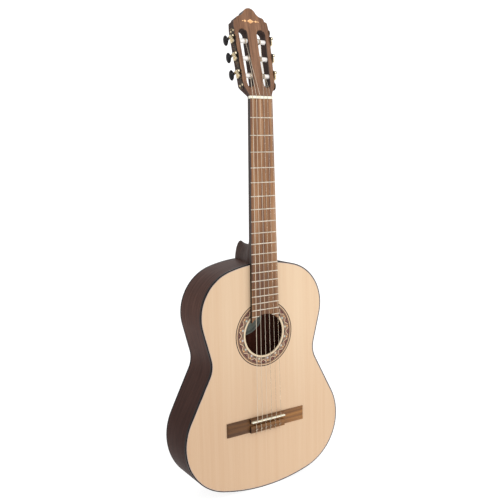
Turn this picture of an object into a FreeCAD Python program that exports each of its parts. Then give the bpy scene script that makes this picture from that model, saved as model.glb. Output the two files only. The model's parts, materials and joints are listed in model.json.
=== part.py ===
import FreeCAD, Part
import Sketcher
import math
import os
from FreeCAD import Placement, Rotation, Vector

# Classical guitar, standing upright: X to the viewer's right, Y backwards through the body, Z up along the
# strings. x = 0 is the centre line, y = 0 the front of the soundboard, z = 0 the tail end of the body.

doc = FreeCAD.newDocument("classical_guitar")
sheet = doc.addObject("Spreadsheet::Sheet", "Dimensions")

DRIVING = (
    # strings and neck
    ("scale_length", 650), ("nut_height", 801.5), ("nut_thickness", 5), ("nut_width", 52),
    ("joint_height", 476.5), ("joint_width", 62), ("board_thickness", 6.5), ("board_end", 350),
    ("board_hole_radius", 42.6), ("neck_depth_nut", 15.6), ("neck_depth_joint", 17.5), ("fret_width", 2.2),
    ("fret_crown", 1.0), ("tang_width", 0.6), ("tang_depth", 1.8), ("nut_rise", 8.9),
    ("string_rise_nut", 8.2), ("string_rise_saddle", 13.4), ("spread_nut", 43), ("spread_saddle", 58),
    # body outline: half widths, the heights where they fall, and the bout radii
    ("upper_half", 146), ("upper_height", 377.5), ("upper_radius", 93),
    ("waist_half", 125), ("waist_height", 281.5), ("waist_radius", 50),
    ("lower_half", 188), ("lower_height", 122.5), ("lower_radius", 112), ("body_length", 478),
    # body thicknesses and the dished back
    ("depth", 93.4), ("dish_radius", 4500), ("dish_height", 236), ("top_thickness", 2.5),
    ("back_thickness", 2.5), ("side_thickness", 2), ("binding_depth", 5), ("binding_round", 0.8),
    ("purfling_width", 1.2), ("purfling_depth", 1), ("lining_width", 6), ("lining_depth", 13),
    ("block_half_width", 32), ("tail_block_length", 16), ("neck_block_length", 42),
    # sound hole and rosette
    ("hole_height", 329), ("hole_radius", 45.6), ("rosette_inner", 49.4), ("rosette_outer", 68.4),
    ("rosette_depth", 0.8), ("label_width", 104), ("label_height", 74), ("label_centre", 341.5),
    ("label_thickness", 0.3),
    # bridge and saddle
    ("bridge_length", 189), ("bridge_bottom", 126.5), ("bridge_width", 29.5), ("bridge_block", 83),
    ("saddle_length", 80), ("saddle_thickness", 3), ("saddle_seat", 2), ("tie_hole_radius", 0.9),
    # head
    ("head_tilt", 12.5), ("head_front", 4.5), ("veneer_thickness", 2.5), ("head_wood_thickness", 17.5),
    ("slot_inner", 10.7), ("slot_outer", 29.2), ("slot_bottom", 20), ("slot_top", 135.5),
    # tuning machines
    ("side_lean", 2), ("side_half", 38.9), ("tuner_height", 76.5), ("tuner_pitch", 35), ("roller_depth", 6),
    ("roller_radius", 4.5), ("pin_radius", 3), ("hub_radius", 2.4), ("fit_gap", 0.06),
    ("plate_thickness", 1.2), ("plate_length", 112), ("plate_width", 9), ("gear_stand", 3.9),
    ("gear_thickness", 2.6), ("gear_teeth", 14), ("gear_pitch_radius", 5.2), ("worm_distance", 8),
    ("worm_root", 2.1), ("worm_outer", 3.4), ("worm_length", 9), ("shaft_radius", 1.7),
    ("button_depth", 28), ("button_length", 21), ("button_width", 13.5), ("button_thickness", 8.5),
)
for row, (alias, value) in enumerate(DRIVING, start=1):
    sheet.set(f"A{row}", alias)
    sheet.set(f"B{row}", str(value))
    sheet.setAlias(f"B{row}", alias)
doc.recompute()


def dim(alias):
    return float(getattr(sheet, alias))


def bind(obj, **expressions):
    """Ties properties of an object to cells; a word in an expression is a cell of the sheet."""
    for prop, expression in expressions.items():
        words = [f"Dimensions.{w}" if w[0].isalpha() else w for w in expression.split()]
        obj.setExpression(prop, " ".join(words))
    return obj


# ---------------------------------------------------------------- small helpers

def add(kind, label, **expressions):
    obj = doc.addObject(kind, label)
    obj.Label = label
    return bind(obj, **expressions)


def feature(label, shape):
    obj = doc.addObject("Part::Feature", label)
    obj.Label = label
    obj.Shape = shape
    return obj


def cut(label, base, tool):
    obj = add("Part::Cut", label)
    obj.Base, obj.Tool = base, tool
    return obj


def box(label, corner, **expressions):
    obj = add("Part::Box", label, **expressions)
    obj.Placement.Base = Vector(*corner)
    return obj


def pd_body(label):
    obj = doc.addObject("PartDesign::Body", label)
    obj.Label = label
    return obj


def sketch_on(body, role, offset=0.0):
    """A sketch on one of the body's own origin planes, moved along that plane's normal."""
    sketch = body.newObject("Sketcher::SketchObject", f"{body.Label}_sketch")
    plane = next(f for f in body.Origin.OriginFeatures if f.Role == role)
    sketch.AttachmentSupport = [(plane, "")]
    sketch.MapMode = "FlatFace"
    sketch.AttachmentOffset = Placement(Vector(0, 0, offset), Rotation())
    return sketch


def draw(sketch, start, *steps):
    """A closed profile: a step (x, y) is a straight edge, a step ((x, y), (x, y)) an arc via a point."""
    here = start
    for step in steps + ((start,) if _end_of(steps[-1]) != start else ()):
        end = _end_of(step)
        a, b = Vector(*here, 0), Vector(*end, 0)
        if _is_arc(step):
            sketch.addGeometry(Part.Arc(a, Vector(*step[0], 0), b))
        else:
            sketch.addGeometry(Part.LineSegment(a, b))
        here = end


def _is_arc(step):
    return isinstance(step[0], tuple)


def _end_of(step):
    return step[1] if _is_arc(step) else step


def add_circle(sketch, height, radius_cell, height_cell):
    """A circle on the sketch's upright axis whose radius and height follow the sheet."""
    circle = Part.Circle(Vector(0, height, 0), Vector(0, 0, 1), dim(radius_cell))
    index = sketch.addGeometry(circle)
    radius = sketch.addConstraint(Sketcher.Constraint("Radius", index, dim(radius_cell)))
    sketch.setExpression(f"Constraints[{radius}]", f"Dimensions.{radius_cell}")
    sketch.addConstraint(Sketcher.Constraint("PointOnObject", index, 3, -2))
    rise = sketch.addConstraint(Sketcher.Constraint("DistanceY", -1, 1, index, 3, height))
    sketch.setExpression(f"Constraints[{rise}]", f"Dimensions.{height_cell}")


def pad(body, sketch, length, **options):
    obj = body.newObject("PartDesign::Pad", f"{body.Label}_pad")
    obj.Profile = sketch
    bind(obj, Length=length)
    for name, value in options.items():
        setattr(obj, name, value)
    body.Tip = obj
    return obj


def pocket(body, sketch, length, **options):
    """A pocket that is checked to remove material."""
    doc.recompute()
    before = body.Shape.Volume
    obj = body.newObject("PartDesign::Pocket", f"{body.Label}_pocket")
    obj.Profile = sketch
    bind(obj, Length=length)
    for name, value in options.items():
        setattr(obj, name, value)
    body.Tip = obj
    doc.recompute()
    if not body.Shape.Volume < before - 0.01:
        raise ValueError(f"the pocket in {body.Label} removes nothing")
    return obj


def revolve(body, sketch, axis="V_Axis"):
    obj = body.newObject("PartDesign::Revolution", f"{body.Label}_turned")
    obj.Profile = sketch
    obj.ReferenceAxis = (sketch, [axis])
    obj.Angle = 360
    body.Tip = obj
    return obj


def rod(start, end, radius):
    run = end - start
    return Part.makeCylinder(radius, run.Length, start, run)


# ---------------------------------------------------------------- the body outline

def bout_chain(inset):
    """The right half of the outline as tangent arcs and lines, from the tail to the neck, moved inwards by
    inset. The two end arcs are centred on the centre line; the bouts and the waist have the sheet's radii."""
    lower = Vector(dim("lower_half") - dim("lower_radius"), 0, dim("lower_height"))
    waist = Vector(dim("waist_half") + dim("waist_radius"), 0, dim("waist_height"))
    upper = Vector(dim("upper_half") - dim("upper_radius"), 0, dim("upper_height"))
    r_low, r_waist, r_up = dim("lower_radius"), dim("waist_radius"), dim("upper_radius")

    def end_radius(offset, rise, radius):
        return (offset ** 2 + rise ** 2 - radius ** 2) / (2 * (rise - radius))

    def towards(a, b):
        run = b - a
        return run * (1 / run.Length)

    def inner_tangent(a, ra, b, rb):
        """Where the straight line between two arcs of opposite curvature touches each of them."""
        run = b - a
        lean = math.acos((ra + rb) / run.Length)
        out = Rotation(Vector(0, 1, 0), math.degrees(lean) * (1 if run.z > 0 else -1))
        normal = out.multVec(towards(a, b))
        return a + normal * ra, b - normal * rb

    tail_radius = end_radius(lower.x, lower.z, r_low)
    head_radius = end_radius(upper.x, dim("body_length") - upper.z, r_up)
    tail_centre = Vector(0, 0, tail_radius)
    head_centre = Vector(0, 0, dim("body_length") - head_radius)

    # inset arcs: convex ones shrink, the waist grows
    r_low, r_up, r_waist = r_low - inset, r_up - inset, r_waist + inset
    tail_end = lower + towards(tail_centre, lower) * r_low
    head_end = upper + towards(head_centre, upper) * r_up
    low_a, waist_a = inner_tangent(lower, r_low, waist, r_waist)
    up_b, waist_b = inner_tangent(upper, r_up, waist, r_waist)
    tail, top = Vector(0, 0, inset), Vector(0, 0, dim("body_length") - inset)
    tail_mid = tail_centre + towards(tail_centre, (tail_end + tail) * 0.5) * (tail_radius - inset)
    head_mid = head_centre + towards(head_centre, (head_end + top) * 0.5) * (head_radius - inset)
    return (
        (tail, tail_mid, tail_end),
        (tail_end, lower + Vector(r_low, 0, 0), low_a),
        (low_a, None, waist_a),
        (waist_a, waist - Vector(r_waist, 0, 0), waist_b),
        (waist_b, None, up_b),
        (up_b, upper + Vector(r_up, 0, 0), head_end),
        (head_end, head_mid, top),
    )


def outline_edges(inset, sides=(1, -1)):
    """Edges of the closed outline, or of one side of it, in the plane y = 0."""
    edges = []
    for side in sides:
        for a, middle, b in bout_chain(inset):
            a, b = Vector(a.x * side, 0, a.z), Vector(b.x * side, 0, b.z)
            if middle is None:
                edges.append(Part.LineSegment(a, b).toShape())
            else:
                edges.append(Part.Arc(a, Vector(middle.x * side, 0, middle.z), b).toShape())
    return edges


def outline_sketch(body, inset, sketch=None):
    """Draws the outline, moved inwards by inset, in a new sketch or in one that has its other edge."""
    sketch = sketch or sketch_on(body, "XZ_Plane")
    for edge in outline_edges(inset):
        flat = edge.copy()
        flat.rotate(Vector(), Vector(1, 0, 0), -90)
        curve = flat.Curve
        a, b = flat.Vertexes[0].Point, flat.Vertexes[-1].Point
        if isinstance(curve, Part.Circle):
            middle = flat.valueAt((flat.FirstParameter + flat.LastParameter) / 2)
            sketch.addGeometry(Part.Arc(a, middle, b))
        else:
            sketch.addGeometry(Part.LineSegment(a, b))
    return sketch


def prism(inset, near, far):
    """The outline moved inwards by inset, as a block from y = near to y = far."""
    wire = Part.Wire(Part.__sortEdges__(outline_edges(inset)))
    block = Part.Face(wire).extrude(Vector(0, far - near, 0))
    block.translate(Vector(0, near, 0))
    return block


def dish(skin=0.0):
    """Ball whose surface is the dished back, taken skin millimetres inside the back's outer face."""
    centre = Vector(0, dim("depth") - dim("dish_radius"), dim("dish_height"))
    return Part.makeSphere(dim("dish_radius") - skin, centre)


TOP, BACK = dim("top_thickness"), dim("back_thickness")
SIDE = dim("side_thickness")
DEEP = dim("depth") + 10


def wall(inner, outer, near, skin):
    """A band between two insets, from y = near back to skin millimetres inside the back's outer face."""
    return prism(outer, near, DEEP).cut(prism(inner, near - 1, DEEP + 1)).common(dish(skin))


soundboard = pd_body("soundboard")
pad(soundboard, outline_sketch(soundboard, SIDE), "top_thickness", Reversed=True)
hole_sketch = sketch_on(soundboard, "XZ_Plane")
add_circle(hole_sketch, dim("hole_height"), "hole_radius", "hole_height")
pocket(soundboard, hole_sketch, "top_thickness")
channel_sketch = sketch_on(soundboard, "XZ_Plane")
add_circle(channel_sketch, dim("hole_height"), "rosette_inner", "hole_height")
add_circle(channel_sketch, dim("hole_height"), "rosette_outer", "hole_height")
pocket(soundboard, channel_sketch, "rosette_depth")
PURFLED = SIDE + dim("purfling_width")


def rim_sketch(body):
    """The narrow channel just inside the edge, which the purfling fills."""
    return outline_sketch(body, PURFLED, sketch=outline_sketch(body, SIDE))


pocket(soundboard, rim_sketch(soundboard), "purfling_depth")
top_purfling = pd_body("top_purfling")
pad(top_purfling, rim_sketch(top_purfling), "purfling_depth", Reversed=True)

rosette = pd_body("rosette")
ring_sketch = sketch_on(rosette, "XZ_Plane")
add_circle(ring_sketch, dim("hole_height"), "rosette_inner", "hole_height")
add_circle(ring_sketch, dim("hole_height"), "rosette_outer", "hole_height")
pad(rosette, ring_sketch, "rosette_depth", Reversed=True)

feature("back_plate", prism(SIDE, TOP, DEEP).common(dish(0)).cut(dish(BACK)))


OUTLINE = Part.Wire(Part.__sortEdges__(outline_edges(0)))


def eased(band, on_face):
    """The band with its outermost corner rounded over: the edges that lie on its face and on the outline."""
    def outermost(edge):
        low, high = edge.ParameterRange
        points = [edge.valueAt(low + share * (high - low)) for share in (0, 0.5, 1)]
        return all(on_face(p) and OUTLINE.distToShape(Part.Vertex(p.x, 0, p.z))[0] < 0.01 for p in points)

    rounded = band.makeFillet(dim("binding_round"), [edge for edge in band.Edges if outermost(edge)])
    if not rounded.isValid() or not rounded.Volume < band.Volume:
        raise ValueError("a binding's edge was not rounded")
    return rounded


def on_top(point):
    return abs(point.y) < 0.01


def on_dish(point):
    return dish().distToShape(Part.Vertex(point))[0] < 0.01 and point.y > dim("depth") / 2


top_band = prism(0, 0, dim("binding_depth")).cut(prism(SIDE, -1, dim("binding_depth") + 1))
feature("top_binding", eased(top_band, on_top))
back_band = wall(SIDE, 0, TOP, 0).cut(dish(dim("binding_depth")))
feature("back_binding", eased(back_band, on_dish))
sides = wall(SIDE, 0, dim("binding_depth"), dim("binding_depth"))
HALF = Part.makeBox(300, DEEP * 2, 600, Vector(0, -DEEP, -50))
feature("side_treble", sides.common(HALF))
feature("side_bass", sides.cut(HALF))

block_width = 2 * dim("block_half_width")
neck_block_foot = dim("joint_height") - dim("neck_block_length")
tail_space = Part.makeBox(block_width, DEEP, dim("tail_block_length"), Vector(-block_width / 2, TOP, 0))
neck_space = Part.makeBox(block_width, DEEP, 60, Vector(-block_width / 2, TOP, neck_block_foot))
inside = prism(SIDE, TOP, DEEP).common(dish(BACK))
feature("tail_block", inside.common(tail_space))
feature("neck_block", inside.common(neck_space))

lining_inset = SIDE + dim("lining_width")
lining_end = TOP + dim("lining_depth")
top_lining = prism(SIDE, TOP, lining_end).cut(prism(lining_inset, 0, lining_end + 1))
feature("top_lining", top_lining.cut(tail_space).cut(neck_space))
back_lining = wall(lining_inset, SIDE, lining_end, BACK).cut(dish(BACK + dim("lining_depth")))
feature("back_lining", back_lining.cut(tail_space).cut(neck_space))

# ---------------------------------------------------------------- braces and label

BRACE_GAP = lining_inset + 1
FAN_TOP, FAN_BOTTOM, FAN_WIDTH, FAN_RISE = 251, 60, 6, 4.5
BAR_WIDTH, BAR_RISE = 7, 15


def fan_brace(step):
    """One of five thin braces that spread from the lower bar towards the tail."""
    a, b = Vector(step * 16, TOP, FAN_TOP), Vector(step * 36, TOP, FAN_BOTTOM)
    run = a - b
    brace = Part.makeBox(FAN_WIDTH, FAN_RISE, run.Length, Vector(-FAN_WIDTH / 2, 0, 0))
    brace.Placement = Placement(b, Rotation(Vector(0, 0, 1), run))
    return brace


top_bars = [Part.makeBox(400, BAR_RISE, BAR_WIDTH, Vector(-200, TOP, z)) for z in (257, 385)]
top_space = prism(BRACE_GAP, TOP, DEEP)
feature("top_braces", Part.makeCompound(
    [fan_brace(step) for step in range(-2, 3)] + [bar.common(top_space) for bar in top_bars]))

back_space = prism(BRACE_GAP, lining_end, DEEP).common(dish(BACK)).cut(dish(BACK + BAR_RISE))
feature("back_braces", Part.makeCompound(
    [Part.makeBox(400, DEEP, BAR_WIDTH, Vector(-200, 0, z)).common(back_space) for z in (116, 231, 396)]))

# ---------------------------------------------------------------- neck, heel and head

JOINT, NUT = dim("joint_height"), dim("nut_height")
NUT_BACK = NUT + dim("nut_thickness")
HEAD = Placement(Vector(0, -dim("head_front"), NUT_BACK), Rotation(Vector(1, 0, 0), -dim("head_tilt")))


def half_oval(half_width, reach, flat, place):
    """A D-shaped wire: a straight edge, and half an ellipse that reaches away from it."""
    major, minor = max(half_width, reach), min(half_width, reach)
    arc = Part.Arc(Part.Ellipse(Vector(), major, minor), 0, math.pi)
    if reach > half_width:
        arc = Part.Arc(Part.Ellipse(Vector(), major, minor), -math.pi / 2, math.pi / 2)
    curve = arc.toShape()
    if reach > half_width:
        curve.rotate(Vector(), Vector(0, 0, 1), 90)
    curve.translate(Vector(0, flat, 0))
    ends = [v.Point for v in curve.Vertexes]
    wire = Part.Wire([curve, Part.LineSegment(ends[-1], ends[0]).toShape()])
    wire.Placement = place.multiply(wire.Placement)
    return wire


def level(height):
    """Plane across the neck at a height: the oval opens backwards."""
    return Placement(Vector(0, 0, height), Rotation())


def upright(depth_back):
    """Plane parallel to the soundboard: the oval opens upwards."""
    return Placement(Vector(0, depth_back, 0), Rotation(Vector(1, 0, 0), 90))


def board_half(height):
    """Half the neck's width at a height: it narrows evenly from the joint to the nut."""
    share = (height - JOINT) / (NUT - JOINT)
    return (dim("joint_width") + share * (dim("nut_width") - dim("joint_width"))) / 2


def neck_depth(height):
    share = (height - JOINT) / (NUT - JOINT)
    return dim("neck_depth_joint") + share * (dim("neck_depth_nut") - dim("neck_depth_joint"))


NECK_LOW, NECK_HIGH = JOINT - 6, NUT + 20
shaft = Part.makeLoft(
    [half_oval(board_half(z), neck_depth(z), 0, level(z)) for z in (NECK_LOW, NECK_HIGH)], True)
# heel sections: depth behind the soundboard, half width, height of the nose
HEEL = ((3, 29, 581.5), (17, 27.5, 548.5), (26, 24.5, 525.5), (40, 20.5, 513), (60, 16.5, 509.5),
        (94, 12.5, 519))
heel = Part.makeLoft(
    [half_oval(w, nose - NECK_LOW, NECK_LOW, upright(y)) for y, w, nose in HEEL], True)
body_space = prism(0, -5, DEEP + 10)
above_scarf = Part.makeBox(200, 200, 300, Vector(-100, -100, 0))
above_scarf.Placement = HEAD
neck_blank = shaft.fuse(heel).cut(body_space)
feature("neck", neck_blank.cut(above_scarf).common(dish(BACK)).removeSplitter())
heel_only = heel.cut(body_space)
feature("heel_cap", heel_only.common(dish(0)).cut(dish(BACK)))

# head outline in the head's own plane: across, and along from the nut
HEAD_FOOT, HEAD_FLARE, HEAD_WIDE, HEAD_LONG = 26, (36.9, 28), (40.5, 125), 178


def head_profile(sketch):
    right = (
        ((28.3, 7), (32.6, 14)), ((35.7, 20), HEAD_FLARE), HEAD_WIDE, ((40.4, 137), (39.2, 147)),
        ((38, 150.8), (35, 152)), (32.6, 153.2), ((31.3, 157.6), (27, 160)), ((18.8, 163.4), (13, 170.3)),
    )
    crown = ((0, HEAD_LONG), (-13, 170.3))
    left = []
    stops = [(HEAD_FOOT, 0)] + [_end_of(step) for step in right]
    for step, target in zip(reversed(right), reversed(stops[:-1])):
        flip = (-target[0], target[1])
        left.append(((-step[0][0], step[0][1]), flip) if _is_arc(step) else flip)
    draw(sketch, (HEAD_FOOT, 0), *right, crown, *left)


def slot_far(along):
    """How far the slot's outer edge is from the middle: it leans as the head's side does."""
    return dim("slot_outer") + (along - dim("tuner_height")) * math.tan(math.radians(dim("side_lean")))


def slot_profile(sketch, side):
    near, low, high = dim("slot_inner"), dim("slot_bottom"), dim("slot_top")
    low_round, high_round = (slot_far(low) - near) / 2, (slot_far(high) - near) / 2
    foot, top = low + low_round, high - high_round
    draw(sketch, (side * near, foot), (side * near, top),
         ((side * (near + high_round), high), (side * slot_far(top), top)), (side * slot_far(foot), foot),
         ((side * (near + low_round), low), (side * near, foot)))


def head_plate(label, depth_cell, front):
    """The head's outline with its two slots, as a plate that starts front millimetres behind the face."""
    body = pd_body(label)
    sketch = sketch_on(body, "XZ_Plane", -front)
    head_profile(sketch)
    pad(body, sketch, depth_cell, Reversed=True)
    for side in (1, -1):
        slot = sketch_on(body, "XZ_Plane", -front)
        slot_profile(slot, side)
        pocket(body, slot, depth_cell)
    body.Placement = HEAD
    return body


RAMP_SLOPE, RAMP_START, RAMP_REACH = math.radians(35), 14.6, 32


def slot_ramp(side):
    """Round-bottomed sloping cut at a slot's lower end, which lets the strings run down to the rollers."""
    far, near = slot_far(dim("slot_bottom")), dim("slot_inner")
    radius, middle = (far - near) / 2 - 0.1, side * (far + near) / 2
    meets_face = Vector(middle, 0, RAMP_START + radius / math.sin(RAMP_SLOPE))
    run = Vector(0, math.sin(RAMP_SLOPE), math.cos(RAMP_SLOPE)) * RAMP_REACH
    ramp = rod(meets_face - run, meets_face + run, radius)
    ramp.Placement = HEAD
    return ramp


nut_space = Part.makeBox(80, 20, 20, Vector(-40, -20, NUT_BACK - 20))
ramps = Part.makeCompound([slot_ramp(1), slot_ramp(-1)])

# ---------------------------------------------------------------- where the tuning machines sit

SIDES = {"bass": -1, "treble": 1}
STRING_X = [(3.5 - number) / 2.5 for number in range(1, 7)]  # 1 is the treble edge, -1 the bass edge
TUNER_ROW = {6: -1, 5: 0, 4: 1, 1: -1, 2: 0, 3: 1}  # place along the plate, counted from its middle
BRASS_FACE = dim("gear_stand") + dim("gear_thickness") / 2


def side_of(number):
    return "bass" if number > 3 else "treble"


def machine_frame(side):
    """Frame on a head side: X along the head, Y through it, Z straight out of it.
    Y points to the face on the treble side and to the back on the bass side."""
    sign = SIDES[side]
    lean = math.radians(dim("side_lean"))
    out = Vector(sign * math.cos(lean), 0, -math.sin(lean))
    along = Vector(sign * math.sin(lean), 0, math.cos(lean))
    seat = Vector(sign * dim("side_half"), dim("roller_depth"), dim("tuner_height"))
    return HEAD.multiply(Placement(seat, Rotation(along, out.cross(along), out, "XYZ")))


def machine_point(side, along, back, out):
    """A point near a head side: along the head, back from the roller axes, and out from the wood."""
    return machine_frame(side).multVec(Vector(along, -SIDES[side] * back, out))


def roller_row(number):
    return TUNER_ROW[number] * dim("tuner_pitch")


def depth_of(number, distance):
    """How far in from the head's side, at a string's roller, a plane at that distance from the middle is."""
    lean = math.radians(dim("side_lean"))
    half = dim("side_half") + roller_row(number) * math.sin(lean)
    return (half - distance) / math.cos(lean)


PIN_LENGTH, BORE_LENGTH = 7.5, 8.2
ROLLER_END, WEB_GAP = 0.3, 0.5

# the rollers' bores through the head's side walls and into its middle
bores = []
for number in range(1, 7):
    side, row = side_of(number), roller_row(number)
    wide = dim("roller_radius") + dim("fit_gap")
    thin = dim("pin_radius") + dim("fit_gap")
    in_slot = machine_point(side, row, 0, dim("slot_outer") - dim("side_half") - 4)
    blind_end = machine_point(side, row, 0, -depth_of(number, dim("slot_inner")) - BORE_LENGTH)
    bores.append(rod(machine_point(side, row, 0, 1), in_slot, wide))
    bores.append(rod(in_slot, blind_end, thin))

head_blank = head_plate("head_blank", "head_wood_thickness", dim("veneer_thickness"))
doc.recompute()

# the lower end of the head is rounded off behind, where the hand passes from neck to head
FOOT_DEPTH, FOOT_SPREAD, FOOT_SWELL, FOOT_TOP = 17.6, 0.95, 0.5, 34


def foot_oval(along):
    """The head's cross-section near its foot: it widens and deepens away from the nut."""
    place = Placement(Vector(0, dim("veneer_thickness"), along), Rotation())
    return half_oval(HEAD_FOOT + along * FOOT_SPREAD, FOOT_DEPTH + along * FOOT_SWELL, 0, place)


foot = Part.makeLoft([foot_oval(-12), foot_oval(FOOT_TOP)], True)
above = Part.makeBox(120, 60, 200, Vector(-60, -10, FOOT_TOP - 0.1))
rounding = foot.fuse(above)
rounding.Placement = HEAD.multiply(rounding.Placement)
head_wood = head_blank.Shape.common(rounding).cut(nut_space).cut(ramps)
veneer_blank = head_plate("veneer_blank", "veneer_thickness", 0)
doc.recompute()
veneer_wood = veneer_blank.Shape.cut(nut_space).cut(ramps)
for bore in bores:
    head_wood = head_wood.cut(bore)
    veneer_wood = veneer_wood.cut(bore)
feature("headstock", head_wood)
feature("head_veneer", veneer_wood)

# ---------------------------------------------------------------- fingerboard, frets, nut

BOARD = dim("board_thickness")


def fret_height(number):
    return NUT - dim("scale_length") * (1 - 2 ** (-number / 12))


def board_outline(sketch):
    end = dim("board_end")
    low, high = board_half(end), board_half(NUT)
    draw(sketch, (-low, end), (low, end), (high, NUT), (-high, NUT))


hole_column = Part.makeCylinder(dim("board_hole_radius"), 40,
                                Vector(0, -20, dim("hole_height")), Vector(0, 1, 0))


def fret_wire(number):
    """Crown and tang of one fret, or of both ends of the last one, which the sound hole divides."""
    z, half = fret_height(number), board_half(fret_height(number))
    wide, crown, tang = dim("fret_width") / 2, dim("fret_crown"), dim("tang_width") / 2
    low, high = Vector(-half, -BOARD, z - wide), Vector(-half, -BOARD, z + wide)
    arc = Part.Arc(low, Vector(-half, -BOARD - crown, z), high)
    foot_edge = Part.LineSegment(high, low)
    bead = Part.Face(Part.Wire([arc.toShape(), foot_edge.toShape()])).extrude(Vector(2 * half, 0, 0))
    blade = Part.makeBox(2 * half, dim("tang_depth"), 2 * tang, Vector(-half, -BOARD, z - tang))
    return bead.fuse(blade).cut(hole_column)


board_body = pd_body("board_blank")
board_sketch = sketch_on(board_body, "XZ_Plane")
board_outline(board_sketch)
pad(board_body, board_sketch, "board_thickness")
doc.recompute()
fret_solids = [fret_wire(number) for number in range(1, 20)]
board = board_body.Shape.cut(hole_column)
for fret in fret_solids:
    board = board.cut(fret)
feature("fingerboard", board)
feature("frets", Part.makeCompound([solid for fret in fret_solids for solid in fret.Solids]))

# ---------------------------------------------------------------- strings

STRING_RADIUS = {1: 0.36, 2: 0.41, 3: 0.515, 4: 0.38, 5: 0.455, 6: 0.56}
WIND_X = {6: 17, 5: 15.5, 4: 18, 1: 17, 2: 15.5, 3: 18}  # from the middle to where a string meets its roller
WIND_GAP = 0.12
TIE_FRONT, TIE_BACK, TIE_RISE = dim("bridge_bottom") + 14.5, dim("bridge_bottom") + 1.5, 5.0
CREST = NUT - dim("scale_length") - 1.5
SADDLE_ROUND = dim("saddle_thickness") / 2


def string_points(number):
    """The string's centre line: tie block, bend over the saddle, nut, and the top of its roller."""
    across, radius = STRING_X[number - 1], STRING_RADIUS[number]
    x_saddle, x_nut = across * dim("spread_saddle") / 2, across * dim("spread_nut") / 2
    tie = Vector(x_saddle, -TIE_RISE, TIE_FRONT)
    centre = Vector(x_saddle, -dim("string_rise_saddle") + SADDLE_ROUND, CREST)
    reach = SADDLE_ROUND + radius + 0.03
    run = tie - centre
    fall = math.asin(reach / math.hypot(run.y, run.z))
    slope = math.atan2(run.y, -run.z) - fall  # of the stretch behind the saddle, below level
    bend = reach / math.cos(slope / 2)
    over = centre + Vector(0, -bend * math.cos(slope / 2), -bend * math.sin(slope / 2))
    nut = Vector(x_nut, -dim("string_rise_nut") - radius, NUT_BACK)
    # the stretch from the nut ends where it is tangent to the winding on the roller
    axis = machine_point(side_of(number), roller_row(number), 0, -depth_of(number, WIND_X[number]))
    wind = dim("roller_radius") + radius + WIND_GAP
    gap = Vector(0, nut.y - axis.y, nut.z - axis.z)
    forward = Rotation(Vector(1, 0, 0), -math.degrees(math.acos(wind / gap.Length)))
    end = axis + forward.multVec(gap) * (wind / gap.Length)
    return [Vector(x_saddle, -TIE_RISE, TIE_BACK + 0.4), tie, over, nut, end]


def rounded_path(points, bends):
    """Straight runs through the points, joined by tangent arcs of the given radii."""
    edges, here = [], points[0]
    for before, corner, after, bend in zip(points, points[1:], points[2:], bends):
        back, on = (before - corner).normalize(), (after - corner).normalize()
        half = back.getAngle(on) / 2
        reach, centre = bend / math.tan(half), bend / math.sin(half)
        middle = (back + on).normalize()
        start, end = corner + back * reach, corner + on * reach
        edges.append(Part.LineSegment(here, start).toShape())
        edges.append(Part.Arc(start, corner + middle * (centre - bend), end).toShape())
        here = end
    edges.append(Part.LineSegment(here, points[-1]).toShape())
    return Part.Wire(edges)


def string_solid(points, radius):
    """A round string along its bends, checked against its section times its length."""
    path = rounded_path(points, (3.0, SADDLE_ROUND + radius + 0.03, 1.5))
    section = Part.Wire(Part.Circle(points[0], points[1] - points[0], radius).toShape())
    solid = path.makePipeShell([section], True, False)
    expected = math.pi * radius ** 2 * path.Length
    if abs(solid.Volume - expected) > 0.01 * expected:
        raise ValueError("a string's volume is off")
    return solid


for number in range(1, 7):
    feature(f"string_{number}", string_solid(string_points(number), STRING_RADIUS[number]))

nut_blank = box("nut_blank", (-dim("nut_width") / 2, -dim("nut_rise"), NUT),
                Length="nut_width", Width="nut_rise", Height="nut_thickness")
grooves = feature("nut_grooves", Part.makeCompound([
    rod(string_points(n)[2], string_points(n)[3] + (string_points(n)[3] - string_points(n)[2]) * 0.01,
        STRING_RADIUS[n] + 0.05) for n in range(1, 7)]))
cut("nut", nut_blank, grooves)

# ---------------------------------------------------------------- bridge and saddle

BRIDGE_LOW, BRIDGE_HIGH = dim("bridge_bottom"), dim("bridge_bottom") + dim("bridge_width")
SEAT_BACK = CREST - dim("saddle_thickness") / 2
WING_BEVEL = 4

bridge = pd_body("bridge_blank")
wing_sketch = sketch_on(bridge, "YZ_Plane")
wing_top = (-4.4, (BRIDGE_LOW + BRIDGE_HIGH) / 2)
draw(wing_sketch, (0, BRIDGE_LOW), (-1.6, BRIDGE_LOW), (wing_top, (-1.6, BRIDGE_HIGH)), (0, BRIDGE_HIGH))
pad(bridge, wing_sketch, "bridge_length", Midplane=True)
block_sketch = sketch_on(bridge, "YZ_Plane")
# from the tail side: the tie block with its rounded edges, the trough in front of it, and the saddle ledge
draw(block_sketch, (0, BRIDGE_LOW), (-7.2, BRIDGE_LOW), ((-8.4, BRIDGE_LOW + 0.4), (-8.7, BRIDGE_LOW + 1.5)),
     (-8.7, TIE_FRONT - 1), ((-8.4, TIE_FRONT - 0.3), (-7.7, TIE_FRONT)), (-3.2, TIE_FRONT),
     (-3.2, SEAT_BACK - 3.5), (-8.2, SEAT_BACK - 1.5), (-8.6, SEAT_BACK + 4.5),
     ((-7.4, BRIDGE_HIGH - 1.2), (-4.2, BRIDGE_HIGH)), (0, BRIDGE_HIGH))
pad(bridge, block_sketch, "bridge_block", Midplane=True)
slot_sketch = sketch_on(bridge, "XY_Plane", SEAT_BACK)
half_saddle = dim("saddle_length") / 2
draw(slot_sketch, (-half_saddle, -20), (half_saddle, -20), (half_saddle, -dim("saddle_seat")),
     (-half_saddle, -dim("saddle_seat")))
pocket(bridge, slot_sketch, "saddle_thickness", Reversed=True)
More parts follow.
